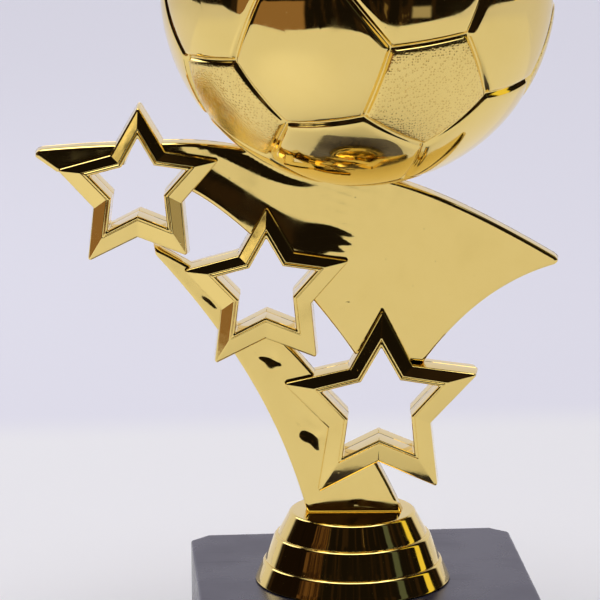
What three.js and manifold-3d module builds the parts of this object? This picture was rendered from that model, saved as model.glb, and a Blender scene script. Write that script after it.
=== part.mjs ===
// Star trophy: a gold figure of three stars on a curved sail and stem, with a football on top,
// standing on a three-stepped riser that is bolted through a weighted black base.
// Millimetres, +Z up. The origin is the middle of the underside of the base pad, and the stars face -Y.
import * as THREE from 'three';
import { mergeVertices } from 'three/addons/utils/BufferGeometryUtils.js';
import Module from 'manifold-3d';

const wasm = await Module();
wasm.setup();

// ---------------------------------------------------------------- driving dimensions
const gap = 0.3;                // clearance between neighbouring pieces
const farAway = 200;            // size of the blocks that cut a piece in half

// black base
const baseSide = 80;
const baseCorner = 4.3;         // chamfer of the upright corners
const baseEdge = 0.8;           // softened top edge
const baseTop = 24;
const baseWall = 2.5;
const padSide = 77;
const padThick = 1.5;
const coverThick = 2;
const ballastSide = 68;
const ballastThick = 8;
const ballastHole = 9;          // radius of the well round the fixing
const bossRadius = 7;
const bossBottom = 13;

// fixing: one M5 threaded rod
const rodRadius = 2.5;
const threadRoom = 0.4;         // radial clearance of nuts and washer on the rod
const nutFlats = 8;
const nutHeight = 4;
const washerRadius = 6;
const washerThick = 1;
const rodBelow = 18.5;          // below the base top
const rodAbove = 12.5;          // above the base top

// how the figure stands on the base
const standX = -2.6;            // the fixing hole is a little left of the middle
const standTurn = -4.9;         // degrees: the figure is clamped slightly out of square

// stepped riser: [top radius, bottom radius, top height, bottom height] of each tier
const riserTiers = [
  [15.3, 17.7, 16.9, 11.3],
  [18.8, 20.8, 11.3, 5.0],
  [21.6, 23.2, 5.0, gap],
];
const riserRound = 0.9;
const riserWall = 1.8;
const riserTop = riserTiers[0][2];

// stem foot, inside the riser
const spigotRadius = 6;
const spigotBottom = 4;
const nutPocketBottom = 6;
const neckHalfWidth = 5;

// flat gold work
const plateHalf = 3.2;          // half the thickness of the sail and the stem
const plateEdge = 0.7;          // radius of the front and back edges
const plateEdgeSteps = 3;
const plateDraft = 0.3;         // the plates widen by this towards the joint between their halves
const starHalf = 5;             // half the thickness of a star at its rim
const starRise = 1.4;           // how far the facets rise from the rim to the opening
const starDraft = 0.35;         // each star widens by this towards the joint between its halves
const starOpening = 0.6;        // size of the opening over size of the star
const openingNotch = 0.54;      // radius of the opening's notches over radius of its points
const openingLift = 0.8;        // the opening sits this much above the middle of the star
const starHidden = 0.7;         // the sail and stem end here, under the star's rim
const starShear = 0.073;        // the stars climb slightly to the right
const halfJoint = gap / 2;      // each half stops here, short of the joint plane

// stars: centre x, height above the base top, radius of the points,
// radius of the notches over radius of the points, turn in degrees
const stars = {
  upper: { x: -49.7, z: 95.2, radius: 19.9, notch: 0.55, turn: -1.1 },
  middle: { x: -20.0, z: 71.0, radius: 20.5, notch: 0.545, turn: -0.9 },
  lower: { x: 6.6, z: 42.5, radius: 24.2, notch: 0.525, turn: -1.6 },
};

// football
const ballRadius = 45.8;
const ballX = 1.8;
const ballZ = 141.7;
const ballWall = 2;
const lugHalfWidth = 7;         // tongue of the sail inside the ball
const lugHalfThick = 2.6;
const lugReach = 4.5;

// ---------------------------------------------------------------- materials
function finish(color, roughness, metalness) {
  return new THREE.MeshStandardMaterial({ color, roughness, metalness });
}

const materials = {
  gold: finish(0xd9b24a, 0.12, 1),
  blackPlastic: finish(0x1c1b20, 0.4, 0),
  felt: finish(0x101012, 0.95, 0),
  iron: finish(0x4a4a4c, 0.7, 1),
  steel: finish(0xa9abae, 0.35, 1),
};

// ---------------------------------------------------------------- solids
function solid(geometry) {
  const plain = geometry.clone();
  plain.deleteAttribute('normal');
  plain.deleteAttribute('uv');
  const merged = mergeVertices(plain, 1e-4);
  return new wasm.Manifold(new wasm.Mesh({
    numProp: 3,
    vertProperties: merged.attributes.position.array,
    triVerts: new Uint32Array(merged.index.array),
  }));
}

function geometryOf(manifold) {
  const mesh = manifold.getMesh();
  const geometry = new THREE.BufferGeometry();
  geometry.setAttribute('position', new THREE.BufferAttribute(mesh.vertProperties, 3));
  geometry.setIndex(new THREE.BufferAttribute(mesh.triVerts, 1));
  geometry.computeVertexNormals();
  return geometry;
}

function addPiece(group, name, manifold, material) {
  const mesh = new THREE.Mesh(geometryOf(manifold), material);
  mesh.name = name;
  group.add(mesh);
}

function block([x0, x1], [y0, y1], [z0, z1]) {
  const box = new THREE.BoxGeometry(x1 - x0, y1 - y0, z1 - z0);
  return solid(box.translate((x0 + x1) / 2, (y0 + y1) / 2, (z0 + z1) / 2));
}

function cylinder(radius, z0, z1, sides = 32, x = 0) {
  const upright = new THREE.CylinderGeometry(radius, radius, z1 - z0, sides).rotateX(Math.PI / 2);
  return solid(upright.translate(x, 0, (z0 + z1) / 2));
}

function hexagon(acrossFlats, z0, z1, x = 0) {
  return cylinder(acrossFlats / Math.sqrt(3), z0, z1, 6, x);
}

function nut(z0, x = 0) {
  const hole = cylinder(rodRadius + threadRoom, z0 - 1, z0 + nutHeight + 1, 24, x);
  return hexagon(nutFlats, z0, z0 + nutHeight, x).subtract(hole);
}

function revolve(profile, segments) {
  const points = profile.map(([radius, height]) => new THREE.Vector2(radius, height));
  return solid(new THREE.LatheGeometry(points, segments).rotateX(Math.PI / 2));
}

// A square with chamfered corners, raised from z0 to z1, with softened edges when bevel is given.
function squarePlate(side, corner, z0, z1, bevel = 0) {
  const half = side / 2 - bevel;
  const cut = half - corner;
  const outline = new THREE.Shape([
    [-cut, -half], [cut, -half], [half, -cut], [half, cut],
    [cut, half], [-cut, half], [-half, cut], [-half, -cut],
  ].map(([x, y]) => new THREE.Vector2(x, y)));
  const options = {
    depth: z1 - z0 - 2 * bevel,
    bevelEnabled: bevel > 0,
    bevelThickness: bevel,
    bevelSize: bevel,
    bevelSegments: 2,
  };
  return solid(new THREE.ExtrudeGeometry(outline, options).translate(0, 0, z0 + bevel));
}

// Moves every corner of a closed outline (x, height) outwards by the same distance from both its sides.
function offsetOutline(points, distance) {
  const turn = THREE.ShapeUtils.isClockWise(points) ? -1 : 1;
  return points.map((point, i) => {
    const before = point.clone().sub(points[(i + points.length - 1) % points.length]).normalize();
    const after = points[(i + 1) % points.length].clone().sub(point).normalize();
    const outward = new THREE.Vector2(before.y + after.y, -before.x - after.x).normalize();
    const stretch = turn * distance / (outward.x * after.y - outward.y * after.x);
    return point.clone().addScaledVector(outward, stretch);
  });
}

// The surface through a row of outlines with the same number of corners: a tube that joins its last
// outline to its first, or a body closed by flat ends.
function loft(rings, isTube) {
  const count = rings[0].length;
  const positions = rings.flat().flatMap((point) => point.toArray());
  const index = [];
  const spans = isTube ? rings.length : rings.length - 1;
  for (let i = 0; i < spans; i += 1) {
    const here = i * count;
    const next = ((i + 1) % rings.length) * count;
    for (let j = 0; j < count; j += 1) {
      const k = (j + 1) % count;
      index.push(here + j, here + k, next + k, here + j, next + k, next + j);
    }
  }
  if (!isTube) {
    const last = (rings.length - 1) * count;
    const flat = rings[0].map((point) => new THREE.Vector2(point.x, point.z));
    for (const [p, q, r] of THREE.ShapeUtils.triangulateShape(flat, [])) {
      index.push(p, r, q, last + p, last + q, last + r);
    }
  }
  const geometry = new THREE.BufferGeometry();
  geometry.setAttribute('position', new THREE.Float32BufferAttribute(positions, 3));
  geometry.setIndex(index);
  return solid(geometry);
}

// A plate about y = 0 with drafted walls and rounded front and back edges, from an outline (x, height).
function roundedPlate(outline, grow = 0) {
  const points = outline.getPoints(14);
  if (points[0].distanceTo(points.at(-1)) < 1e-6) points.pop();
  if (THREE.ShapeUtils.isClockWise(points)) points.reverse();
  const sections = [];
  for (let i = 0; i <= plateEdgeSteps; i += 1) {
    const angle = (Math.PI / 2) * (i / plateEdgeSteps);
    sections.push([plateEdge * (Math.sin(angle) - 1), plateHalf - plateEdge * (1 - Math.cos(angle))]);
  }
  const back = sections.map(([reach, depth]) => [reach, depth]);
  const front = sections.map(([reach, depth]) => [reach, -depth]).reverse();
  const rings = [...back, [plateDraft, 0], ...front].map(([reach, depth]) => {
    const y = depth + Math.sign(depth) * grow;
    return offsetOutline(points, reach + grow).map((point) => new THREE.Vector3(point.x, y, point.y));
  });
  return loft(rings, false);
}

function halves(manifold) {
  const all = [-farAway, farAway];
  return {
    front: manifold.intersect(block(all, [-farAway, -halfJoint], all)),
    back: manifold.intersect(block(all, [halfJoint, farAway], all)),
  };
}

// ---------------------------------------------------------------- star outlines
function starPoints({ x, z, radius, turn }, notch, lift = 0) {
  const points = [];
  for (let i = 0; i < 10; i += 1) {
    const angle = THREE.MathUtils.degToRad(90 + turn + 36 * i);
    const reach = (i % 2 === 0 ? 1 : notch) * radius;
    const across = reach * Math.cos(angle);
    points.push(new THREE.Vector2(x + across, z + lift + reach * Math.sin(angle) + starShear * across));
  }
  return points;
}

function starOutside(star, widen) {
  return starPoints({ ...star, radius: star.radius + widen }, star.notch);
}

function starInside(star, scale, widen) {
  return starPoints({ ...star, radius: star.radius * scale + widen }, openingNotch, openingLift);
}

// The room that the sail and stem leave free round a star's opening.
function starRoom(star, shrink = 0) {
  const outline = starInside(star, starHidden, -shrink);
  const ring = (y) => outline.map((point) => new THREE.Vector3(point.x, y, point.y));
  return loft([ring(2 * starHalf), ring(-2 * starHalf)], false);
}

// One half of a star: side is -1 for the front and 1 for the back.
function starBand(star, side) {
  const at = (points, depth) => points.map((point) => new THREE.Vector3(point.x, side * depth, point.y));
  const rings = [
    at(starOutside(star, starDraft), halfJoint),
    at(starOutside(star, 0), starHalf),
    at(starInside(star, starOpening, 0), starHalf + starRise),
    at(starInside(star, starOpening, -starDraft), halfJoint),
  ];
  return loft(side < 0 ? rings : rings.reverse(), true);
}

// ---------------------------------------------------------------- sail and stem outlines
function sailOutline() {
  const outline = new THREE.Shape();
  outline.moveTo(-48.5, 105.9);
  outline.quadraticCurveTo(-36, 107, -25, 104.6);
  outline.lineTo(-16, 108);
  outline.lineTo(8, 108);
  outline.lineTo(8, 97.5);
  outline.quadraticCurveTo(22, 94.3, 47.7, 78.9);
  outline.lineTo(48.6, 77.9);
  outline.lineTo(47.9, 77);
  outline.bezierCurveTo(36, 73.5, 26, 66, 17, 53.5);
  outline.lineTo(1, 55);
  outline.bezierCurveTo(-8, 69, -25, 88, -37.2, 94.8);
  outline.lineTo(-41, 98);
  outline.lineTo(-47.5, 99);
  outline.closePath();
  return outline;
}

// The sail's far tip, beyond the upper star and moulded with it.
function sailTipOutline() {
  const outline = new THREE.Shape();
  outline.moveTo(-73.5, 103.1);
  outline.lineTo(-73.3, 104.2);
  outline.lineTo(-71.9, 104.8);
  outline.quadraticCurveTo(-62, 105.7, -51, 105.9);
  outline.lineTo(-53, 101);
  outline.lineTo(-62, 98.5);
  outline.lineTo(-68.8, 99.5);
  outline.closePath();
  return outline;
}

function stemOutline() {
  const foot = riserTop + gap;
  const outline = new THREE.Shape();
  outline.moveTo(-45.9, 79.6);
  outline.lineTo(-46.2, 81.6);
  outline.bezierCurveTo(-28, 73, -3, 51, 11.8, foot);
  outline.lineTo(-10.7, foot);
  outline.bezierCurveTo(-17, 41, -29, 60.5, -45.9, 79.6);
  return outline;
}

function ball(radius) {
  return solid(new THREE.SphereGeometry(radius, 40, 26).rotateX(Math.PI / 2).translate(ballX, 0, ballZ));
}

function ballLug(grow) {
  const reach = [ballX - lugHalfWidth - grow, ballX + lugHalfWidth + grow];
  const thick = [-lugHalfThick - grow, lugHalfThick + grow];
  const bottom = ballZ - ballRadius;
  return block(reach, thick, [bottom - 5, bottom + lugReach + grow]);
}

// The sail and stem, grown by the clearance when they are used to cut their neighbours.
function sailBody(grow = 0) {
  let body = roundedPlate(sailOutline(), grow);
  body = body.subtract(ball(ballRadius + gap - grow)).add(ballLug(grow));
  for (const star of [stars.upper, stars.middle, stars.lower]) {
    body = body.subtract(starRoom(star, grow));
  }
  return body;
}

function stemBody(grow = 0) {
  let body = roundedPlate(stemOutline(), grow);
  for (const star of [stars.upper, stars.middle, stars.lower]) {
    body = body.subtract(starRoom(star, grow));
  }
  return body;
}

// ---------------------------------------------------------------- base
function addBase(group) {
  const inner = baseSide - 2 * baseWall;
  const innerCorner = baseCorner - 1;
  const shellBottom = padThick + gap;
  const shell = squarePlate(baseSide, baseCorner, shellBottom - baseEdge, baseTop, baseEdge)
    .subtract(squarePlate(inner, innerCorner, 0, baseTop - baseWall))
    .subtract(block([-farAway, farAway], [-farAway, farAway], [-1, shellBottom]))
    .add(cylinder(bossRadius, bossBottom, baseTop - 1, 32, standX))
    .subtract(cylinder(rodRadius + threadRoom, 0, baseTop + 1, 24, standX));
  addPiece(group, 'base_shell', shell, materials.blackPlastic);

  const coverTop = shellBottom + coverThick;
  const cover = squarePlate(inner - 2 * gap, innerCorner, shellBottom, coverTop);
  addPiece(group, 'base_cover', cover, materials.blackPlastic);

  const ballastBottom = coverTop + gap;
  const ballast = squarePlate(ballastSide, innerCorner, ballastBottom, ballastBottom + ballastThick)
    .subtract(cylinder(ballastHole, 0, baseTop, 32, standX));
  addPiece(group, 'ballast_plate', ballast, materials.iron);

  addPiece(group, 'underside_pad', squarePlate(padSide, baseCorner, 0, padThick), materials.felt);
}

function addFixing(group) {
  const rod = cylinder(rodRadius, baseTop - rodBelow, baseTop + rodAbove, 24, standX);
  addPiece(group, 'threaded_rod', rod, materials.steel);

  const washerTop = bossBottom - gap;
  const washer = cylinder(washerRadius, washerTop - washerThick, washerTop, 32, standX)
    .subtract(cylinder(rodRadius + threadRoom, 0, baseTop, 24, standX));
  addPiece(group, 'base_washer', washer, materials.steel);

  addPiece(group, 'base_nut', nut(washerTop - washerThick - gap - nutHeight, standX), materials.steel);
}

// ---------------------------------------------------------------- riser
function addRiser(group) {
  const mouth = spigotRadius + gap;
  const outside = [[mouth, riserTop]];
  const inside = [];
  for (const [topRadius, bottomRadius, top, bottom] of riserTiers) {
    outside.push([topRadius - riserRound, top]);
    outside.push([topRadius - riserRound * 0.3, top - riserRound * 0.3]);
    outside.push([topRadius, top - riserRound]);
    outside.push([bottomRadius, bottom]);
    inside.push([topRadius - riserWall, top - riserWall]);
    inside.push([bottomRadius - riserWall, Math.max(bottom - riserWall, gap)]);
  }
  const profile = [...outside, ...inside.reverse(), [mouth, riserTop - riserWall], outside[0]];
  addPiece(group, 'riser', revolve(profile.reverse(), 48), materials.gold);
}

// ---------------------------------------------------------------- figure
function addStem(group) {
  const across = [-neckHalfWidth, neckHalfWidth];
  const neck = block(across, [1 - plateHalf, plateHalf - 1], [riserTop - 2, riserTop + 4]);
  const spigot = cylinder(spigotRadius, spigotBottom, riserTop, 32)
    .add(neck)
    .subtract(cylinder(rodRadius + threadRoom, 0, rodAbove + gap, 24))
    .subtract(hexagon(nutFlats + 2 * gap, nutPocketBottom - gap, nutPocketBottom + nutHeight + gap));
  const parts = halves(stemBody().add(spigot));
  addPiece(group, 'stem_front', parts.front, materials.gold);
  addPiece(group, 'stem_back', parts.back, materials.gold);
  addPiece(group, 'foot_nut', nut(nutPocketBottom), materials.steel);
}

function addSail(group) {
  const parts = halves(sailBody());
  addPiece(group, 'sail_front', parts.front, materials.gold);
  addPiece(group, 'sail_back', parts.back, materials.gold);
}

function addStars(group) {
  const neighbours = sailBody(gap).add(stemBody(gap));
  const tip = halves(roundedPlate(sailTipOutline()).subtract(starRoom(stars.upper)));
  for (const [name, star] of Object.entries(stars)) {
    for (const [half, side] of [['front', -1], ['back', 1]]) {
      let band = starBand(star, side);
      if (name === 'upper') band = band.add(tip[half]);
      addPiece(group, `star_${name}_${half}`, band.subtract(neighbours), materials.gold);
    }
  }
}

function addBall(group) {
  const shell = ball(ballRadius).subtract(ball(ballRadius - ballWall)).subtract(ballLug(gap));
  const parts = halves(shell);
  addPiece(group, 'ball_front', parts.front, materials.gold);
  addPiece(group, 'ball_back', parts.back, materials.gold);
}

// ---------------------------------------------------------------- the trophy
const trophy = new THREE.Group();
addBase(trophy);
addFixing(trophy);

const figure = new THREE.Group();
figure.position.set(standX, 0, baseTop);
figure.rotation.z = THREE.MathUtils.degToRad(standTurn);
addRiser(figure);
addStem(figure);
addSail(figure);
addStars(figure);
addBall(figure);
trophy.add(figure);

export default trophy;
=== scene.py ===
# Star trophy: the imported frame, dressed with fine gold work, a black base and a soft studio.
# Metres, +Z up, the stars face -Y. The figure turns about the upright rod of its riser.
import math

import bmesh
import bpy
from mathutils import Matrix, Vector
from mathutils.geometry import delaunay_2d_cdt


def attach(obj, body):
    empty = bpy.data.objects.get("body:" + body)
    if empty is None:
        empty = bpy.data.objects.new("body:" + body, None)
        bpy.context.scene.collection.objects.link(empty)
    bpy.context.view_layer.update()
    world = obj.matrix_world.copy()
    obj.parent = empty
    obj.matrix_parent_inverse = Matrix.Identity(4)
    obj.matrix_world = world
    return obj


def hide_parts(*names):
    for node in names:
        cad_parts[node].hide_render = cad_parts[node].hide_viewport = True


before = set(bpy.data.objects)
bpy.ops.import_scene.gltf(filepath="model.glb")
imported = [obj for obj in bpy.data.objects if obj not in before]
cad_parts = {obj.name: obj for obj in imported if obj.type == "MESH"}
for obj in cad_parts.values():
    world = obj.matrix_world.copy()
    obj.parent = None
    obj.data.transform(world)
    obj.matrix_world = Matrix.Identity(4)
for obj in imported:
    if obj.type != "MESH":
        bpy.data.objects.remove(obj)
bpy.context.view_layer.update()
MM = 0.001

# ------------------------------------------------------------------ driving dimensions, millimetres
GAP = 0.3                                   # between neighbouring pieces
BASE_TOP = 24.0
BASE_SIDE = 80.0
BASE_CORNER = 4.3
BASE_BOTTOM = 1.8
BASE_EDGE = 0.8
BASE_WALL = 2.5
STAND_X = -2.6
STAND_TURN = math.radians(-4.9)

# each tier: top radius, bottom radius, top height, bottom height above the base
RISER_TIERS = [(15.3, 17.7, 16.9, 11.3), (18.8, 20.8, 11.3, 5.0), (21.6, 23.2, 5.0, GAP)]
RISER_ROUND = 1.0
RISER_WALL = 1.8

PLATE_HALF = 3.2                            # half the thickness of the sail and the stem
PLATE_ROUND = 0.7
PLATE_DRAFT = 0.3                           # widening towards the joint between the halves
PLATE_RIM = PLATE_ROUND + 0.2               # the fine mesh of a face starts this far inside its outline
JOINT_HALF = 0.2
JOINT_GROOVE = 0.4

STAR_HALF = 5.0                             # half the thickness at the rim
STAR_RISE = 1.4                             # from the rim up to the crest round the opening
STAR_DRAFT = 0.35
STAR_OPENING = 0.6                          # size of the opening over size of the star
OPENING_NOTCH = 0.54
OPENING_LIFT = 0.8
STAR_SHEAR = 0.073                          # the stars climb slightly to the right
STAR_HIDDEN = 0.7                           # the sail and stem end here, under the star
STARS = {
    "upper": dict(x=-49.7, z=95.2, radius=19.9, notch=0.55, turn=-1.1),
    "middle": dict(x=-20.0, z=71.0, radius=20.5, notch=0.545, turn=-0.9),
    "lower": dict(x=6.6, z=42.5, radius=24.2, notch=0.525, turn=-1.6),
}

BALL_RADIUS = 45.8
BALL_X = 1.8
BALL_Z = 141.7
BALL_TURN = Vector((0.475, 0.127, 0.897))   # rotation vector, radians
BALL_WALL = 2.0
BALL_JOINT_HALF = 0.03                      # the halves meet in a hairline
SEAM_HALF = 0.76
SEAM_DEPTH = 1.05

# ------------------------------------------------------------------ camera
CAMERA_TURN = math.radians(4.03)
CAMERA_PITCH = math.radians(11.97)
CAMERA_ROLL = math.radians(-0.44)
CAMERA_AZIMUTH = math.radians(-4.93)
CAMERA_REACH = 772.0
CAMERA_RISE = 231.7
CAMERA_LENS = 200.5


def make_camera():
    data = bpy.data.cameras.new("camera")
    data.sensor_width = 36.0
    data.lens = CAMERA_LENS
    data.clip_start = 0.05
    data.clip_end = 50.0
    camera = bpy.data.objects.new("camera", data)
    bpy.context.scene.collection.objects.link(camera)
    forward = Vector((
        math.sin(CAMERA_TURN) * math.cos(CAMERA_PITCH),
        math.cos(CAMERA_TURN) * math.cos(CAMERA_PITCH),
        -math.sin(CAMERA_PITCH),
    ))
    level = Vector((math.cos(CAMERA_TURN), -math.sin(CAMERA_TURN), 0.0))
    upright = level.cross(forward)
    right = level * math.cos(CAMERA_ROLL) + upright * math.sin(CAMERA_ROLL)
    up = upright * math.cos(CAMERA_ROLL) - level * math.sin(CAMERA_ROLL)
    place = Matrix((right, up, -forward)).transposed().to_4x4()
    place.translation = Vector((
        STAND_X + CAMERA_REACH * math.sin(CAMERA_AZIMUTH),
        -CAMERA_REACH * math.cos(CAMERA_AZIMUTH),
        BASE_TOP + CAMERA_RISE,
    )) * MM
    camera.matrix_world = place
    bpy.context.scene.camera = camera


make_camera()

# ------------------------------------------------------------------ placing
FIGURE = Matrix.Translation(Vector((STAND_X, 0.0, BASE_TOP))) @ Matrix.Rotation(STAND_TURN, 4, "Z")
TO_METRES = Matrix.Scale(MM, 4)


class Surface:
    """A mesh under construction, in millimetres, made of points and faces."""

    def __init__(self):
        self.points = []
        self.faces = []

    def add(self, point):
        self.points.append(Vector(point))
        return len(self.points) - 1

    def ring(self, points):
        return [self.add(point) for point in points]

    def bridge(self, lower, upper):
        count = len(lower)
        for i in range(count):
            j = (i + 1) % count
            self.faces.append((lower[i], lower[j], upper[j], upper[i]))

    def cap(self, ring, flip=False):
        self.faces.append(tuple(reversed(ring)) if flip else tuple(ring))

    def piece(self, name, body, material, slot, node, place=None, flip=False):
        """The finished object: welded, smooth, riding its body in place of its CAD node."""
        mesh = bpy.data.meshes.new(name)
        mesh.from_pydata([tuple(p) for p in self.points], [], self.faces)
        mesh.transform(TO_METRES @ (place or Matrix.Identity(4)))
        work = bmesh.new()
        work.from_mesh(mesh)
        bmesh.ops.remove_doubles(work, verts=work.verts, dist=1e-7)
        bmesh.ops.dissolve_degenerate(work, edges=work.edges, dist=1e-8)
        if flip:
            bmesh.ops.reverse_faces(work, faces=work.faces)
        work.to_mesh(mesh)
        work.free()
        mesh.shade_smooth()
        mesh.materials.append(material)
        piece = bpy.data.objects.new(name, mesh)
        bpy.context.scene.collection.objects.link(piece)
        keep = piece.modifiers.new("flat_facets", "WEIGHTED_NORMAL")
        keep.weight = 60
        keep.keep_sharp = True
        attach(piece, body)
        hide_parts(node)
        return piece


def smooth_step(edge0, edge1, value):
    t = min(max((value - edge0) / (edge1 - edge0), 0.0), 1.0)
    return t * t * (3.0 - 2.0 * t)


def quadratic(p0, p1, p2, steps):
    p0, p1, p2 = Vector(p0), Vector(p1), Vector(p2)
    curve = []
    for i in range(1, steps + 1):
        t = i / steps
        curve.append((1 - t) ** 2 * p0 + 2 * t * (1 - t) * p1 + t * t * p2)
    return curve


def cubic(p0, p1, p2, p3, steps):
    p0, p1, p2, p3 = Vector(p0), Vector(p1), Vector(p2), Vector(p3)
    curve = []
    for i in range(1, steps + 1):
        t = i / steps
        a = (1 - t) ** 3 * p0 + 3 * t * (1 - t) ** 2 * p1
        curve.append(a + 3 * t * t * (1 - t) * p2 + t ** 3 * p3)
    return curve


def area(points):
    total = 0.0
    for i, point in enumerate(points):
        after = points[(i + 1) % len(points)]
        total += point.x * after.y - after.x * point.y
    return total / 2


def offset(points, distance):
    """Every corner of a counter-clockwise outline moved outwards, the same distance from both sides."""
    moved = []
    count = len(points)
    for i, point in enumerate(points):
        before = (point - points[i - 1]).normalized()
        after = (points[(i + 1) % count] - point).normalized()
        outward = Vector((before.y + after.y, -before.x - after.x)).normalized()
        stretch = distance / max(outward.x * after.y - outward.y * after.x, 0.2)
        moved.append(point + outward * stretch)
    return moved


def round_corners(points, radii, steps):
    """A counter-clockwise outline with each corner turned into a small arc of the given radius."""
    rounded = []
    count = len(points)
    for i, point in enumerate(points):
        before = (point - points[i - 1]).normalized()
        after = (points[(i + 1) % count] - point).normalized()
        turn = math.atan2(before.x * after.y - before.y * after.x, before.dot(after))
        reach = radii[i] * math.tan(abs(turn) / 2)
        start = point - before * reach
        side = 1.0 if turn > 0 else -1.0
        centre = start + Vector((-before.y, before.x)) * side * radii[i]
        arm = start - centre
        for k in range(steps + 1):
            angle = turn * k / steps
            rounded.append(centre + Vector((
                arm.x * math.cos(angle) - arm.y * math.sin(angle),
                arm.x * math.sin(angle) + arm.y * math.cos(angle),
            )))
    return rounded


# ------------------------------------------------------------------ materials
class Nodes:
    """Short names for building a shader tree."""

    def __init__(self, tree):
        self.tree = tree
        tree.nodes.clear()

    def add(self, kind, settings=None, **inputs):
        node = self.tree.nodes.new(kind)
        for key, value in (settings or {}).items():
            setattr(node, key, value)
        for key, value in inputs.items():
            socket = node.inputs[key.replace("_", " ")]
            if isinstance(value, bpy.types.NodeSocket):
                self.tree.links.new(value, socket)
            else:
                socket.default_value = value
        return node

    def math(self, operation, a, b=0.0, clamp=False):
        node = self.tree.nodes.new("ShaderNodeMath")
        node.operation = operation
        node.use_clamp = clamp
        for socket, value in zip(node.inputs, (a, b)):
            if isinstance(value, bpy.types.NodeSocket):
                self.tree.links.new(value, socket)
            else:
                socket.default_value = value
        return node.outputs[0]

    def step(self, value, low, high, to_low=0.0, to_high=1.0):
        node = self.tree.nodes.new("ShaderNodeMapRange")
        node.interpolation_type = "SMOOTHSTEP"
        self.tree.links.new(value, node.inputs["Value"])
        node.inputs["From Min"].default_value = low
        node.inputs["From Max"].default_value = high
        node.inputs["To Min"].default_value = to_low
        node.inputs["To Max"].default_value = to_high
        return node.outputs["Result"]

    def blend(self, factor, a, b):
        node = self.tree.nodes.new("ShaderNodeMix")
        node.data_type = "RGBA"
        for socket, value in ((node.inputs[0], factor), (node.inputs[6], a), (node.inputs[7], b)):
            if isinstance(value, bpy.types.NodeSocket):
                self.tree.links.new(value, socket)
            else:
                socket.default_value = value
        return node.outputs[2]

    def noise(self, where, scale, detail=2.0, roughness=0.5):
        node = self.add("ShaderNodeTexNoise", Vector=where, Scale=scale, Detail=detail)
        node.inputs["Roughness"].default_value = roughness
        return node.outputs["Fac"]

    def bump(self, height, distance, strength=1.0, under=None):
        """The surface normal, tilted by a height in metres, on top of another normal if one is given."""
        node = self.add("ShaderNodeBump", Height=height, Distance=distance, Strength=strength)
        if under:
            self.tree.links.new(under, node.inputs["Normal"])
        return node.outputs["Normal"]


def tree_of(name):
    material = bpy.data.materials.new(name)
    material.use_nodes = True
    return material, Nodes(material.node_tree)


def finish_material(nodes, shader):
    out = nodes.add("ShaderNodeOutputMaterial")
    nodes.tree.links.new(shader.outputs["BSDF"], out.inputs["Surface"])


GOLD_PALE = (0.935, 0.722, 0.250, 1.0)
GOLD_DEEP = (0.89, 0.672, 0.212, 1.0)
# deep orange painted shade for the middle of the stipple pits
GOLD_PIT_PAINTED_SHADE = (0.66, 0.40, 0.10, 1.0)


def make_gold(name, stipple=False):
    """Vacuum-plated gold: a mirror with faint moulding waves, haze, handling marks and tiny specks; when
    stippled, its pits get a painted shade of deep orange.
    """
    material, nodes = tree_of(name)
    where = nodes.add("ShaderNodeTexCoord").outputs["Object"]
    waves = nodes.noise(where, 55.0, 2.0)
    haze = nodes.noise(where, 130.0, 4.0, 0.6)
    specks = nodes.add("ShaderNodeTexVoronoi", Vector=where, Scale=260.0).outputs["Distance"]
    speck = nodes.step(specks, 0.0, 0.055, 1.0, 0.0)
    rough = nodes.step(haze, 0.42, 0.78, 0.045, 0.12)
    rough = nodes.math("ADD", rough, nodes.math("MULTIPLY", speck, 0.25))
    tone = nodes.blend(haze, GOLD_PALE, GOLD_DEEP)
    normal = nodes.bump(waves, 0.00005)
    peel = nodes.noise(where, 320.0, 2.0)
    normal = nodes.bump(peel, 0.000006, 1.0, normal)
    if stipple:
        pits = nodes.add("ShaderNodeTexVoronoi", {"feature": "SMOOTH_F1"}, Vector=where, Scale=1550.0)
        pits.inputs["Randomness"].default_value = 0.6
        pits.inputs["Smoothness"].default_value = 0.35
        pits = nodes.step(pits.outputs["Distance"], 0.0, 0.60)
        # painted shade: the middle of each pit turns deep orange, standing in for the shade and reflections
        # inside the hollow
        tone = nodes.blend(nodes.step(pits, 0.25, 0.75, 0.7, 0.0), tone, GOLD_PIT_PAINTED_SHADE)
        normal = nodes.bump(pits, 0.00006, 1.0, normal)
        rough = nodes.math("ADD", rough, 0.17)
    else:
        normal = nodes.bump(speck, 0.00002, 0.5, normal)
    shader = nodes.add("ShaderNodeBsdfPrincipled", Metallic=1.0, Roughness=rough, Normal=normal)
    nodes.tree.links.new(tone, shader.inputs["Base Color"])
    finish_material(nodes, shader)
    return material


def make_black(name):
    """Moulded black plastic: satin, slightly dusty, with a very fine grain and faint scuffs."""
    material, nodes = tree_of(name)
    where = nodes.add("ShaderNodeTexCoord").outputs["Object"]
    grain = nodes.noise(where, 2600.0, 3.0)
    cloud = nodes.noise(where, 45.0, 4.0, 0.6)
    streaks = nodes.add("ShaderNodeMapping", Vector=where)
    streaks.inputs["Scale"].default_value = (30.0, 900.0, 400.0)
    streaks.inputs["Rotation"].default_value = (0.0, 0.0, 0.5)
    scuffs = nodes.noise(streaks.outputs["Vector"], 1.0, 2.0)
    scuff = nodes.step(scuffs, 0.66, 0.74)
    tone = nodes.blend(cloud, (0.026, 0.024, 0.047, 1.0), (0.036, 0.033, 0.060, 1.0))
    rough = nodes.step(cloud, 0.3, 0.7, 0.24, 0.33)
    rough = nodes.math("ADD", rough, nodes.math("MULTIPLY", scuff, 0.10))
    normal = nodes.bump(grain, 0.00002, 0.35)
    shader = nodes.add("ShaderNodeBsdfPrincipled", Roughness=rough, Normal=normal)
    nodes.tree.links.new(tone, shader.inputs["Base Color"])
    shader.inputs["Specular IOR Level"].default_value = 0.60
    shader.inputs["Specular Tint"].default_value = (0.83, 0.79, 1.0, 1.0)
    finish_material(nodes, shader)
    return material


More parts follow.
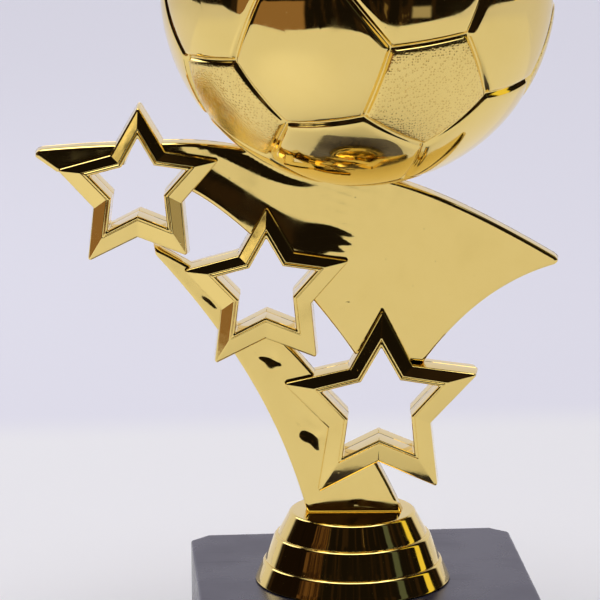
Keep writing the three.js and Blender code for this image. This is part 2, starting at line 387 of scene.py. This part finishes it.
def make_felt(name):
    material, nodes = tree_of(name)
    where = nodes.add("ShaderNodeTexCoord").outputs["Object"]
    fibres = nodes.noise(where, 1800.0, 6.0, 0.75)
    tone = nodes.blend(fibres, (0.006, 0.006, 0.007, 1.0), (0.030, 0.030, 0.034, 1.0))
    normal = nodes.bump(fibres, 0.0002, 0.9)
    shader = nodes.add("ShaderNodeBsdfPrincipled", Roughness=0.95, Normal=normal)
    nodes.tree.links.new(tone, shader.inputs["Base Color"])
    shader.inputs["Sheen Weight"].default_value = 0.3
    finish_material(nodes, shader)
    return material


def make_metal(name, dark, pale, low, high, scale, depth):
    """Iron or zinc-plated steel: mottled tone and roughness over a cast or rolled grain."""
    material, nodes = tree_of(name)
    where = nodes.add("ShaderNodeTexCoord").outputs["Object"]
    mottle = nodes.noise(where, scale, 5.0, 0.6)
    grain = nodes.noise(where, scale * 9.0, 3.0)
    tone = nodes.blend(mottle, dark, pale)
    rough = nodes.step(mottle, 0.3, 0.7, low, high)
    normal = nodes.bump(grain, depth, 0.6)
    shader = nodes.add("ShaderNodeBsdfPrincipled", Metallic=1.0, Roughness=rough, Normal=normal)
    nodes.tree.links.new(tone, shader.inputs["Base Color"])
    finish_material(nodes, shader)
    return material


GOLD = make_gold("gold_mirror")
STIPPLED = make_gold("gold_stippled", stipple=True)
BLACK = make_black("black_satin")
FELT = make_felt("black_felt")
IRON = make_metal("cast_iron", (0.07, 0.07, 0.07, 1), (0.16, 0.155, 0.15, 1), 0.55, 0.8, 220.0, 0.0001)
STEEL = make_metal("zinc_steel", (0.48, 0.49, 0.50, 1), (0.66, 0.67, 0.69, 1), 0.25, 0.42, 300.0, 0.00002)


# ------------------------------------------------------------------ stars
def star_points(star, radius, notch, lift=0.0):
    points = []
    for i in range(10):
        angle = math.radians(90 + star["turn"] + 36 * i)
        reach = radius * (1.0 if i % 2 == 0 else notch)
        across = reach * math.cos(angle)
        height = star["z"] + lift + reach * math.sin(angle) + STAR_SHEAR * across
        points.append(Vector((star["x"] + across, height)))
    return points


def star_section():
    """Rings across the arm of one star half: which outline, how far outside it, depth and corner radii."""
    rings = [("outer", STAR_DRAFT - JOINT_GROOVE, 0.02, 0.45, 0.30)]
    rings.append(("outer", STAR_DRAFT, JOINT_HALF, 0.55, 0.30))
    rings.append(("outer", 0.0, STAR_HALF - 0.30, 0.50, 0.30))
    rings.append(("outer", -0.08, STAR_HALF - 0.09, 0.42, 0.34))
    rings.append(("outer", -0.24, STAR_HALF + 0.06, 0.30, 0.40))
    rings.append(("outer", -0.50, STAR_HALF + 0.17, 0.20, 0.30))
    crest = STAR_HALF + STAR_RISE
    rings.append(("inner", 1.25, crest - 0.44, 0.20, 0.10))
    rings.append(("inner", 1.02, crest - 0.37, 0.20, 0.12))
    rings.append(("inner", 0.90, crest - 0.47, 0.25, 0.12))
    bead, bead_steps = 0.40, 8
    for i in range(bead_steps + 1):
        angle = math.pi * i / bead_steps
        out = 0.45 + bead * math.cos(angle)
        rings.append(("inner", out, crest - 0.36 + bead * math.sin(angle), 0.25, 0.16))
    rings.append(("inner", 0.0, crest - 0.42, 0.25, 0.2))
    rings.append(("inner", -0.14, JOINT_HALF, 0.25, 0.2))
    rings.append(("inner", -0.14 + JOINT_GROOVE, 0.02, 0.25, 0.2))
    return rings


def make_star(name, star, side, half_name, extra=None):
    outer = star_points(star, star["radius"], star["notch"])
    inner = star_points(star, star["radius"] * STAR_OPENING, OPENING_NOTCH, OPENING_LIFT)
    surface = Surface()
    loops = []
    for which, distance, depth, tip, notch in star_section():
        outline = offset(outer if which == "outer" else inner, distance)
        outline = round_corners(outline, [tip, notch] * 5, 4)
        loops.append(surface.ring([Vector((p.x, side * depth, p.y)) for p in outline]))
    for lower, upper in zip(loops, loops[1:] + loops[:1]):
        surface.bridge(lower, upper)
    if extra:
        extra(surface, side)
    node = "star_{}_{}".format(name, half_name)
    return surface.piece("gold_" + node, "figure", GOLD, "gold", node, FIGURE, flip=side > 0)


# ------------------------------------------------------------------ plates: sail and stem
def nearest_edge(point, outline):
    best = 1e9
    for i, b in enumerate(outline):
        a = outline[i - 1]
        edge = b - a
        t = max(0.0, min(1.0, (point - a).dot(edge) / max(edge.length_squared, 1e-12)))
        best = min(best, (point - a - edge * t).length_squared)
    return math.sqrt(best)


def inside(point, outline):
    odd = False
    for i, b in enumerate(outline):
        a = outline[i - 1]
        if (a.y > point.y) != (b.y > point.y):
            if point.x < (b.x - a.x) * (point.y - a.y) / (b.y - a.y) + a.x:
                odd = not odd
    return odd


def plate_into(surface, outline, side, relief, pitch):
    """One half of a plate: grooved joint, drafted wall, rounded edge and a face raised by relief."""
    rings = [(PLATE_DRAFT - JOINT_GROOVE, 0.02, 0.0), (PLATE_DRAFT, JOINT_HALF, 0.0)]
    rings.append((0.0, PLATE_HALF - PLATE_ROUND, 1.0))
    for i in range(1, 6):
        angle = math.pi / 2 * i / 5
        reach = PLATE_ROUND * (math.cos(angle) - 1.0)
        rings.append((reach, PLATE_HALF - PLATE_ROUND * (1.0 - math.sin(angle)), 1.0))
    rings.append((-PLATE_RIM, PLATE_HALF, 1.0))
    loops = []
    for reach, depth, follow in rings:
        points = offset(outline, reach)
        swell = [follow * relief(p.x, p.y) for p in points]
        loop = [Vector((p.x, side * (depth + s), p.y)) for p, s in zip(points, swell)]
        loops.append(surface.ring(loop))
    for lower, upper in zip(loops, loops[1:]):
        surface.bridge(lower, upper)
    surface.cap(loops[0], flip=True)
    rim = offset(outline, -PLATE_RIM)
    fine = [p.copy() for p in rim]
    low_x, high_x = min(p.x for p in rim), max(p.x for p in rim)
    low_z, high_z = min(p.y for p in rim), max(p.y for p in rim)
    row = 0
    z = low_z + pitch / 2
    while z < high_z:
        x = low_x + (pitch / 2 if row % 2 else 0.0)
        while x < high_x:
            point = Vector((x, z))
            if inside(point, rim) and nearest_edge(point, rim) > pitch * 0.55:
                fine.append(point)
            x += pitch
        z += pitch * 0.866
        row += 1
    done = delaunay_2d_cdt(fine, [], [list(range(len(rim)))], 1, 1e-6)
    numbers = []
    for point in done[0]:
        numbers.append(surface.add((point.x, side * (PLATE_HALF + relief(point.x, point.y)), point.y)))
    for face in done[2]:
        corners = [numbers[i] for i in face]
        turn = area([Vector((surface.points[i].x, surface.points[i].z)) for i in corners])
        surface.faces.append(tuple(corners if turn > 0 else reversed(corners)))


def cut_star_rooms(piece):
    """Cuts the plate back under the stars, so that their openings stay clear."""
    for star in STARS.values():
        outline = star_points(star, star["radius"] * STAR_HIDDEN, OPENING_NOTCH, OPENING_LIFT)
        surface = Surface()
        back = surface.ring([Vector((p.x, 12.0, p.y)) for p in outline])
        front = surface.ring([Vector((p.x, -12.0, p.y)) for p in outline])
        surface.bridge(back, front)
        surface.cap(back, flip=True)
        surface.cap(front)
        mesh = bpy.data.meshes.new("room")
        mesh.from_pydata([tuple(p) for p in surface.points], [], surface.faces)
        mesh.transform(TO_METRES @ FIGURE)
        cutter = bpy.data.objects.new("room", mesh)
        bpy.context.scene.collection.objects.link(cutter)
        cut = piece.modifiers.new("room", "BOOLEAN")
        cut.object = cutter
        cut.operation = "DIFFERENCE"
        cut.solver = "EXACT"
        bpy.context.view_layer.update()
        done = bpy.data.meshes.new_from_object(piece.evaluated_get(bpy.context.evaluated_depsgraph_get()))
        piece.modifiers.remove(cut)
        bpy.data.objects.remove(cutter)
        bpy.data.meshes.remove(mesh)
        piece.data = done


def sail_outline():
    points = [Vector((-48.5, 105.9))]
    points += quadratic((-48.5, 105.9), (-36, 107), (-25, 104.6), 10)
    points += [Vector((-16, 108)), Vector((8, 108)), Vector((8, 97.5))]
    points += quadratic((8, 97.5), (22, 94.3), (47.7, 78.9), 26)
    points += [Vector((48.4, 78.2)), Vector((48.4, 77.5)), Vector((47.7, 76.9))]
    points += cubic((47.7, 76.9), (36, 73.5), (26, 66), (17, 53.5), 24)
    points += [Vector((1, 55))]
    points += cubic((1, 55), (-8, 69), (-25, 88), (-37.2, 94.8), 24)
    points += [Vector((-41, 98)), Vector((-47.5, 99))]
    return points if area(points) > 0 else list(reversed(points))


def sail_tip_outline():
    points = [Vector((-73.6, 103.0)), Vector((-73.6, 103.8)), Vector((-73.0, 104.5)), Vector((-72.1, 104.8))]
    points += quadratic((-72.1, 104.8), (-62, 105.7), (-51, 105.9), 12)
    points += [Vector((-53, 101)), Vector((-62, 98.5)), Vector((-68.8, 99.5))]
    return points if area(points) > 0 else list(reversed(points))


def stem_outline():
    foot = RISER_TIERS[0][2] - 0.1
    points = [Vector((-45.9, 79.6)), Vector((-46.2, 81.6))]
    points += cubic((-46.2, 81.6), (-28, 73), (-3, 51), (11.8, foot), 30)
    points += [Vector((-10.7, foot))]
    points += cubic((-10.7, foot), (-17, 41), (-29, 60.5), (-45.9, 79.6), 30)[:-1]
    return points if area(points) > 0 else list(reversed(points))


def dent(x, z, at_x, at_z, long, wide, turn, depth):
    """A small sink mark with an uneven rim, longer one way than the other."""
    dx, dz = x - at_x, z - at_z
    along = (dx * math.cos(turn) + dz * math.sin(turn)) / long
    across = (dz * math.cos(turn) - dx * math.sin(turn)) / wide
    across += 0.14 * math.sin(3.6 * along + at_x)
    along += 0.14 * math.sin(4.4 * across + at_z)
    return -depth * math.exp(-along * along - across * across)


def sail_wave_height(x):
    """Height of the middle of the wave: level on the right, climbing with the lower edge on the left."""
    return 83.0 + 0.62 * math.log(1.0 + math.exp((-12.0 - x) / 2.0)) * 2.0


def sail_swell(x, z):
    """The face leans outward, but falls back in a wave above the lower left edge and again under the ball."""
    lean = 0.030 * (z - 75.0)
    middle = sail_wave_height(x)
    wave = 0.62 * smooth_step(-4.6, 4.6, z - middle) * (1.0 - smooth_step(-9.0, 5.0, x))
    under_ball = 103.9 - 0.52 * (x + 31.6) + 0.014 * max(0.0, x + 24.0) ** 2
    width = 3.0 - 1.6 * smooth_step(-26.0, -12.0, x)
    fillet = 0.087 * width * smooth_step(0.0, width, z - under_ball) * (1.0 - smooth_step(-20.0, -4.0, x))
    return lean - wave - fillet


def sail_relief(x, z):
    """The front of the sail: its swell, a small sink mark and faint ripples where the wave runs out."""
    marks = dent(x, z, -1.5, 68.4, 2.0, 1.3, 0.9, 0.14)
    ripple = math.sin(2.7 * (z - sail_wave_height(x)) + 0.9 * x)
    ragged = 0.012 * ripple * math.exp(-(((x + 1.5) / 4.5) ** 2))
    return sail_swell(x, z) + marks + ragged


def stem_relief(x, z):
    marks = dent(x, z, -9.8, 36.7, 3.1, 1.9, -1.0, 0.60)
    marks += dent(x, z, -12.0, 39.7, 3.0, 1.0, -0.91, 0.28)
    marks += dent(x, z, -19.2, 54.9, 2.2, 1.4, -0.6, 0.30)
    marks += dent(x, z, -33.4, 69.0, 2.4, 0.6, -0.78, 0.10)
    marks += dent(x, z, 1.2, 19.0, 1.3, 0.6, 0.1, 0.06)
    return marks


def flat(x, z):
    return 0.0


def tip_into(surface, side):
    plate_into(surface, sail_tip_outline(), side, flat, 1.6)


def make_plate(name, outline, side, half_name, relief, pitch):
    surface = Surface()
    plate_into(surface, outline, side, relief, pitch)
    node = "{}_{}".format(name, half_name)
    piece = surface.piece("gold_" + node, "figure", GOLD, "gold", node, FIGURE, flip=side > 0)
    cut_star_rooms(piece)
    return piece


for half_name, side in (("front", -1), ("back", 1)):
    make_star("upper", STARS["upper"], side, half_name, tip_into)
    make_star("middle", STARS["middle"], side, half_name)
    make_star("lower", STARS["lower"], side, half_name)
    make_plate("sail", sail_outline(), side, half_name, sail_relief if side < 0 else sail_swell, 0.7)
    make_plate("stem", stem_outline(), side, half_name, stem_relief if side < 0 else flat, 0.5)


# ------------------------------------------------------------------ football
def cyclic(x, y, z):
    """Every change of sign of the three numbers, in their three turned orders."""
    found = set()
    for sx in (-1, 1):
        for sy in (-1, 1):
            for sz in (-1, 1):
                a, b, c = sx * x + 0.0, sy * y + 0.0, sz * z + 0.0
                found.update([(a, b, c), (b, c, a), (c, a, b)])
    return [Vector(v).normalized() for v in sorted(found)]


def ball_panels():
    """The 12 pentagons and 20 hexagons of the football: each a centre and its corners in order."""
    golden = (1 + math.sqrt(5)) / 2
    corners = cyclic(0, 1, 3 * golden) + cyclic(1, 2 + golden, 2 * golden)
    corners += cyclic(golden, 2, 2 * golden + 1)
    centres = cyclic(0, 1, golden) + cyclic(1, 1, 1) + cyclic(1 / golden, 0, golden)
    panels = []
    for centre in centres:
        if any((centre - other).length < 1e-4 for other, _ in panels):
            continue
        top = max(centre.dot(corner) for corner in corners)
        around = [corner for corner in corners if centre.dot(corner) > top - 1e-4]
        unique = []
        for corner in around:
            if all((corner - other).length > 1e-4 for other in unique):
                unique.append(corner)
        level = unique[0].cross(centre).normalized()
        up = centre.cross(level)
        unique.sort(key=lambda corner: math.atan2(corner.dot(up), corner.dot(level)))
        panels.append((centre, unique))
    return panels


# distances from the middle of a seam at which a panel's rings lie, close together in the groove
SEAM_RINGS = [0, 0.09, 0.18, 0.27, 0.36, 0.46, 0.58, 0.72, 0.9, 1.15, 1.5, 2.0, 2.8, 4.0, 5.6, 7.6, 9.8, 12.2]
FIRST_STIPPLED_RING = 8


def seam_radius(distance):
    """Radius of the ball's surface at a distance from the middle of a seam."""
    groove = SEAM_DEPTH * math.exp(-((distance / SEAM_HALF) ** 2))
    pillow = 0.13 * math.exp(-((distance / 2.6) ** 2))
    return BALL_RADIUS - groove - pillow


def make_ball():
    work = bmesh.new()
    per_edge = 20
    for centre, corners in ball_panels():
        count = len(corners)
        rim = []
        for i, corner in enumerate(corners):
            after = corners[(i + 1) % count]
            for k in range(per_edge):
                rim.append(corner.lerp(after, k / per_edge).normalized())
        edge_normal = corners[0].cross(corners[1]).normalized()
        reach = BALL_RADIUS * abs(math.asin(centre.dot(edge_normal)))
        rings = []
        for distance in [d for d in SEAM_RINGS if d < reach * 0.93]:
            share = distance / reach
            radius = seam_radius(distance)
            rings.append([work.verts.new(p.lerp(centre, share).normalized() * radius) for p in rim])
        middle = work.verts.new(centre * BALL_RADIUS)
        for number, (low, high) in enumerate(zip(rings, rings[1:])):
            for i in range(len(rim)):
                j = (i + 1) % len(rim)
                face = work.faces.new((low[i], low[j], high[j], high[i]))
                face.material_index = 1 if count == 5 and number >= FIRST_STIPPLED_RING else 0
        for i in range(len(rim)):
            face = work.faces.new((rings[-1][i], rings[-1][(i + 1) % len(rim)], middle))
            face.material_index = 1 if count == 5 else 0
    bmesh.ops.remove_doubles(work, verts=work.verts, dist=1e-4)
    bmesh.ops.recalc_face_normals(work, faces=work.faces)
    centre = FIGURE @ Vector((BALL_X, 0.0, BALL_Z))
    turned = Matrix.Rotation(BALL_TURN.length, 4, BALL_TURN.normalized())
    bmesh.ops.transform(work, matrix=Matrix.Translation(centre) @ turned, verts=work.verts)
    across = (FIGURE.to_3x3() @ Vector((0.0, 1.0, 0.0))).normalized()
    for half_name, side in (("front", -1), ("back", 1)):
        half = work.copy()
        geometry = half.verts[:] + half.edges[:] + half.faces[:]
        start = centre + across * side * BALL_JOINT_HALF
        bmesh.ops.bisect_plane(half, geom=geometry, plane_co=start, plane_no=across * side, clear_inner=True)
        lip = [edge for edge in half.edges if edge.is_boundary]
        lip = bmesh.ops.extrude_edge_only(half, edges=lip)["geom"]
        for vert in [item for item in lip if isinstance(item, bmesh.types.BMVert)]:
            vert.co = centre + (vert.co - centre) * (1 - BALL_WALL / BALL_RADIUS)
        bmesh.ops.transform(half, matrix=TO_METRES, verts=half.verts)
        mesh = bpy.data.meshes.new("ball")
        half.to_mesh(mesh)
        half.free()
        mesh.shade_smooth()
        mesh.materials.append(GOLD)
        mesh.materials.append(STIPPLED)
        piece = bpy.data.objects.new("gold_ball_" + half_name, mesh)
        bpy.context.scene.collection.objects.link(piece)
        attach(piece, "figure")
        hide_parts("ball_" + half_name)
    work.free()


make_ball()


# ------------------------------------------------------------------ riser
def riser_profile():
    """Radius and height down the outside, from the flat top to the foot, and back up inside."""
    profile = [(6.0, RISER_TIERS[0][2])]
    for top_radius, bottom_radius, top, bottom in RISER_TIERS:
        lean = math.atan2(bottom_radius - top_radius, top - bottom)
        profile.append((top_radius - RISER_ROUND - 0.4, top))
        for i in range(8):
            angle = (math.pi / 2 - lean) * i / 7
            out = RISER_ROUND * math.sin(angle)
            profile.append((top_radius - RISER_ROUND + out, top - RISER_ROUND * (1 - math.cos(angle))))
        start_radius, start = profile[-1]
        for i in range(1, 8):
            t = i / 8
            radius = start_radius + (bottom_radius - start_radius) * t
            profile.append((radius, start + (bottom + 0.25 - start) * t))
        profile.append((bottom_radius - 0.04, bottom + 0.25))
        profile.append((bottom_radius + 0.04, bottom + 0.10))
        profile.append((bottom_radius + 0.12, bottom))
    profile.append((RISER_TIERS[2][1] - RISER_WALL, 0.05))
    profile.append((RISER_TIERS[0][0] - RISER_WALL, RISER_TIERS[0][2] - RISER_WALL))
    profile.append((6.0, RISER_TIERS[0][2] - RISER_WALL))
    return profile


def make_riser():
    surface = Surface()
    steps = 144
    loops = []
    for radius, height in riser_profile():
        ring = []
        for i in range(steps):
            angle = 2 * math.pi * i / steps
            ring.append(Vector((radius * math.cos(angle), radius * math.sin(angle), height)))
        loops.append(surface.ring(ring))
    for lower, upper in zip(loops, loops[1:]):
        surface.bridge(upper, lower)
    surface.cap(loops[0])
    surface.cap(loops[-1], flip=True)
    surface.piece("gold_riser", "figure", GOLD, "gold", "riser", FIGURE)


make_riser()


# ------------------------------------------------------------------ base
def square_outline(grow):
    half = BASE_SIDE / 2 + grow
    cut = half - BASE_CORNER - grow * 0.4
    corners = [(-cut, -half), (cut, -half), (half, -cut), (half, cut)]
    corners += [(cut, half), (-cut, half), (-half, cut), (-half, -cut)]
    points = [Vector(corner) for corner in corners]
    return round_corners(points, [max(0.7 + grow, 0.25)] * 8, 5)


def base_profile():
    """How far outside the square, and height: up the inside wall, round the foot and up to the top."""
    profile = [(-BASE_WALL, BASE_TOP - BASE_WALL), (-BASE_WALL, BASE_BOTTOM + 0.3)]
    profile += [(0.3 - BASE_WALL, BASE_BOTTOM), (-0.3, BASE_BOTTOM)]
    profile += [(-0.09, BASE_BOTTOM + 0.09), (0.0, BASE_BOTTOM + 0.3), (0.0, BASE_TOP - BASE_EDGE)]
    for i in range(1, 6):
        angle = math.pi / 2 * i / 5
        height = BASE_TOP - BASE_EDGE * (1 - math.sin(angle))
        profile.append((BASE_EDGE * (math.cos(angle) - 1), height))
    profile.append((-2.2, BASE_TOP))
    return profile


def make_base():
    surface = Surface()
    rings = []
    for grow, height in base_profile():
        rings.append(surface.ring([Vector((p.x, p.y, height)) for p in square_outline(grow)]))
    for lower, upper in zip(rings, rings[1:]):
        surface.bridge(lower, upper)
    surface.cap(rings[0])
    surface.cap(rings[-1])
    surface.piece("black_base_shell", "base", BLACK, "black_plastic", "base_shell")


make_base()

LOOKS = {
    "base_cover": BLACK,
    "underside_pad": FELT,
    "ballast_plate": IRON,
    "threaded_rod": STEEL,
    "base_washer": STEEL,
    "base_nut": STEEL,
    "foot_nut": STEEL,
}
for node, look in LOOKS.items():
    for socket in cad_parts[node].material_slots:
        socket.material = look

# ------------------------------------------------------------------ floor, room and light
# all in metres
FLOOR_SIDE = 1.6
FLOOR_FRONT = -0.60                         # the gold mirrors the dark room beyond this edge
FLOOR_BACK = 3.0
FLOOR_TONE_LINE = 0.25                           # the floor turns a darker lavender tone behind this line
FLOOR_NEAR_TONE = (0.81, 0.805, 0.865, 1.0)
FLOOR_FRONT_TONE = (0.83, 0.82, 0.86, 1.0)
FLOOR_BACK_TONE = (0.742, 0.735, 0.850, 1.0)
BACKDROP_TONE = (0.69, 0.676, 0.765, 1)
CEILING_TONE = (3.2, 3.2, 3.2, 1)


def make_floor():
    """A pale table whose front left corner is cut away."""
    mesh = bpy.data.meshes.new("floor")
    corners = [(-FLOOR_SIDE, -0.05, 0), (-0.42, -0.38, 0), (-0.24, FLOOR_FRONT, 0)]
    corners += [(FLOOR_SIDE, FLOOR_FRONT, 0), (FLOOR_SIDE, FLOOR_BACK, 0), (-FLOOR_SIDE, FLOOR_BACK, 0)]
    mesh.from_pydata(corners, [], [tuple(range(len(corners)))])
    floor = bpy.data.objects.new("floor", mesh)
    bpy.context.scene.collection.objects.link(floor)
    material, nodes = tree_of("pale_floor")
    where = nodes.add("ShaderNodeTexCoord").outputs["Object"]
    apart = nodes.add("ShaderNodeSeparateXYZ", Vector=where)
    behind = nodes.step(apart.outputs["Y"], FLOOR_TONE_LINE - 0.02, FLOOR_TONE_LINE + 0.02)
    far = nodes.add("ShaderNodeVectorMath", {"operation": "LENGTH"})
    nodes.tree.links.new(where, far.inputs[0])
    behind = nodes.math("MAXIMUM", behind, nodes.step(far.outputs["Value"], 0.62, 1.0))
    near = nodes.step(apart.outputs["Y"], -0.45, 0.02)
    front = nodes.blend(near, FLOOR_FRONT_TONE, FLOOR_NEAR_TONE)
    tone = nodes.blend(behind, front, FLOOR_BACK_TONE)
    shader = nodes.add("ShaderNodeBsdfPrincipled", Roughness=0.8)
    nodes.tree.links.new(tone, shader.inputs["Base Color"])
    shader.inputs["Specular IOR Level"].default_value = 0.1
    finish_material(nodes, shader)
    mesh.materials.append(material)


def make_room():
    """What the gold mirrors: a bright ceiling, a pale wall behind and a dark, furnished room in front."""
    world = bpy.data.worlds.new("studio")
    bpy.context.scene.world = world
    world.use_nodes = True
    nodes = Nodes(world.node_tree)
    where = nodes.add("ShaderNodeTexCoord").outputs["Generated"]
    apart = nodes.add("ShaderNodeSeparateXYZ", Vector=where)
    x, y, z = apart.outputs["X"], apart.outputs["Y"], apart.outputs["Z"]
    turn = nodes.math("ARCTAN2", x, nodes.math("MULTIPLY", y, -1.0))
    across = nodes.math("MULTIPLY", turn, 3.2)
    upward = nodes.math("MULTIPLY", z, 0.9)
    column = nodes.add("ShaderNodeCombineXYZ", X=across, Y=upward).outputs[0]

    def band(value, low, high, edge):
        """1 between two values, with soft edges outside them."""
        rise = nodes.step(value, low - edge, low)
        return nodes.math("MULTIPLY", rise, nodes.step(value, high, high + edge, 1.0, 0.0))

    strips = nodes.noise(column, 2.6, 3.0)
    dark = nodes.blend(nodes.step(strips, 0.50, 0.60), (0.008, 0.006, 0.005, 1), (0.024, 0.014, 0.009, 1))
    dark = nodes.blend(nodes.step(strips, 0.66, 0.70), dark, (0.16, 0.11, 0.06, 1))
    shimmer = nodes.noise(where, 26.0, 2.0)
    window = nodes.blend(nodes.step(shimmer, 0.42, 0.52), (0.03, 0.02, 0.01, 1), (1.25, 1.12, 0.85, 1))
    curtain = nodes.blend(shimmer, (0.004, 0.003, 0.002, 1), (0.012, 0.006, 0.004, 1))
    planks = nodes.step(nodes.noise(column, 9.0, 2.0), 0.44, 0.62)
    planks = nodes.blend(planks, (0.026, 0.012, 0.007, 1), (0.125, 0.062, 0.030, 1))
    # each thing in the room: from and to heading, degrees to the right, from and to height, tone
    things = [
        (-75, -37, -0.30, 0.02, (0.27, 0.155, 0.085, 1)),
        (-118, -78, 0.10, 0.75, curtain),
        (-75, -50, 0.30, 0.75, planks),
        (-51, -42, 0.13, 0.26, window),
        (27, 36, -0.17, -0.09, (0.36, 0.32, 0.28, 1)),
        (57, 64, 0.15, 0.75, (0.085, 0.108, 0.105, 1)),
        (98, 106, -0.30, 0.75, (0.90, 0.74, 0.14, 1)),
    ]
    for turn_low, turn_high, z_low, z_high, tone in things:
        heading = band(turn, math.radians(turn_low), math.radians(turn_high), 0.035)
        height = band(z, z_low, z_high, 0.03)
        dark = nodes.blend(nodes.math("MULTIPLY", heading, height), dark, tone)
    above = nodes.step(z, 0.80, 0.93)
    front = nodes.blend(above, dark, CEILING_TONE)
    wall = nodes.blend(nodes.step(z, 0.38, 0.62), (0.74, 0.72, 0.79, 1), (0.30, 0.27, 0.26, 1))
    back = nodes.blend(above, wall, CEILING_TONE)
    room = nodes.blend(nodes.step(y, 0.56, 0.66), front, back)
    # the plain backdrop beyond the floor
    seen = nodes.add("ShaderNodeLightPath").outputs["Is Camera Ray"]
    glow = nodes.add("ShaderNodeBackground", Color=nodes.blend(seen, room, BACKDROP_TONE))
    out = nodes.add("ShaderNodeOutputWorld")
    nodes.tree.links.new(glow.outputs[0], out.inputs["Surface"])


def add_light(data, place, aim, power):
    data.energy = power
    light = bpy.data.objects.new(data.name, data)
    light.location = place
    light.rotation_euler = (Vector(aim) - Vector(place)).to_track_quat("-Z", "Y").to_euler()
    light.visible_camera = False
    bpy.context.scene.collection.objects.link(light)


def make_lights():
    """A weak soft light from the back left, and a soft pool of light on the table in front."""
    soft = bpy.data.lights.new("soft_back_left", "AREA")
    soft.shape = "DISK"
    soft.size = 0.40
    add_light(soft, (-0.50, 0.55, 0.60), (-0.02, 0.02, 0.05), 0.7)
    pool = bpy.data.lights.new("pool_front_left", "SPOT")
    pool.shadow_soft_size = 0.04
    pool.spot_size = math.radians(17)
    pool.spot_blend = 1.0
    add_light(pool, (-0.27, -0.27, 0.95), (-0.17, -0.15, 0.0), 5.0)


make_floor()
make_room()
make_lights()
bpy.context.scene.view_settings.view_transform = "Standard"
